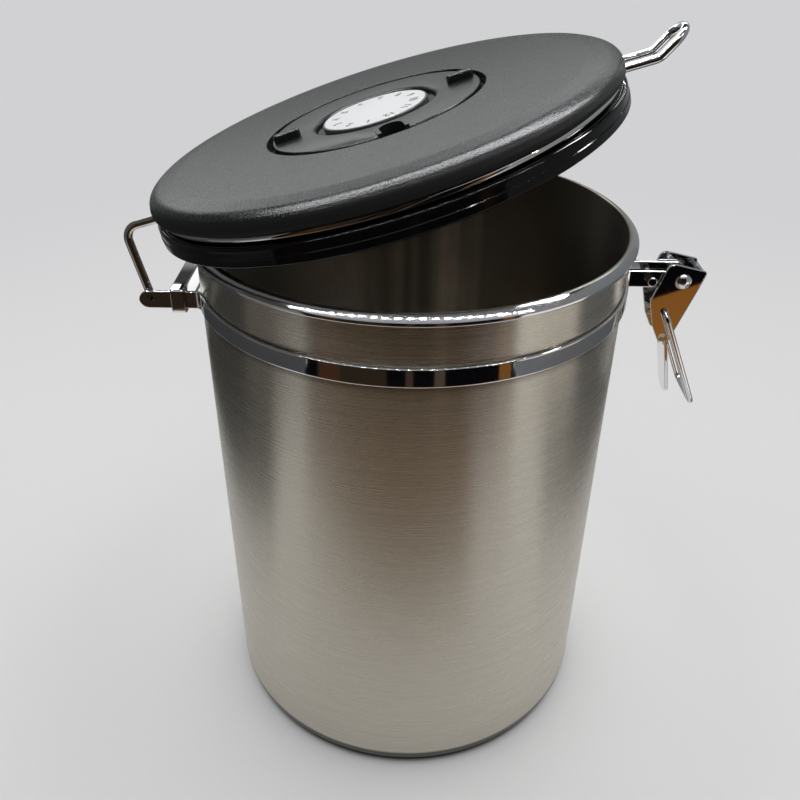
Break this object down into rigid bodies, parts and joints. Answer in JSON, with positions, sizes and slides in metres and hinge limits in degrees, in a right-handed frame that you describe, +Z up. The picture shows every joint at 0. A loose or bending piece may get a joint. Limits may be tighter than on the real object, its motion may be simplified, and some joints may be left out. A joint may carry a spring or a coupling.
{
  "type": "coffee canister with valve",
  "caption": "Steel coffee canister with a wire-held hinged lid, toggle latch, turning date dials and a one-way gas valve under the lid.",
  "frame": {"origin": "centre of the flat base, on the surface it stands on", "axes": "+Z up along the canister's axis, +X from the hinge to the latch, lid at rest a little open"},
  "size_m": [0.162, 0.1272, 0.214],
  "materials": {
    "steel_brushed": "brushed round the body",
    "steel_bright": "bright polished",
    "cover_grey": "fine matte grain",
    "base_black": "gloss",
    "ring_black": "satin",
    "dial_white": "semi-gloss",
    "silicone": "matte",
    "screw_steel": "plain",
    "filter_felt": "felt"
  },
  "bodies": {
    "canister": {"canister_body": "steel_brushed", "strap_front": "steel_bright", "strap_rear": "steel_bright", "hinge_keeper": "steel_bright", "latch_cross_pin": "steel_bright", "latch_pivot_rivet": "steel_bright"},
    "lid": {"bail_wire": "steel_bright", "lid_cover": "cover_grey", "lid_base": "base_black", "cover_screws": "screw_steel", "lid_gasket": "silicone", "dial_hub": "ring_black", "valve_seat": "base_black", "valve_filter": "filter_felt", "valve_cap": "base_black"},
    "date_ring": {"date_ring": "ring_black"},
    "month_dial": {"month_dial": "dial_white", "dial_washer": "screw_steel", "dial_screw": "screw_steel"},
    "valve_disc": {"valve_disc": "silicone"},
    "latch_lever": {"latch_lever": "steel_bright"},
    "latch_link": {"latch_link": "steel_bright"}
  },
  "joints": [
    {"name": "lid_hinge", "type": "hinge", "parent": "canister", "child": "lid", "pos_m": [-0.0706, 0, 0.14675], "axis": [0, -1, 0], "range_deg": [-16.6, 93.4]},
    {"name": "date_ring_turn", "type": "hinge", "parent": "lid", "child": "date_ring", "pos_m": [-0.01041, 0, 0.19198], "axis": [-0.2857, 0, 0.9583], "continuous": true},
    {"name": "month_dial_turn", "type": "hinge", "parent": "lid", "child": "month_dial", "pos_m": [-0.01041, 0, 0.19198], "axis": [-0.2857, 0, 0.9583], "continuous": true},
    {"name": "valve_lift", "type": "slide", "parent": "lid", "child": "valve_disc", "axis": [-0.2857, 0, 0.9583], "range_m": [0, 0.0008], "stiffness_N_per_m": 40},
    {"name": "lever_pivot", "type": "hinge", "parent": "canister", "child": "latch_lever", "pos_m": [0.077, 0, 0.14675], "axis": [0, -1, 0], "range_deg": [0, 125]},
    {"name": "link_pivot", "type": "hinge", "parent": "latch_lever", "child": "latch_link", "pos_m": [0.0734, 0, 0.137], "axis": [0, -1, 0], "range_deg": [-40, 161.5]}
  ]
}
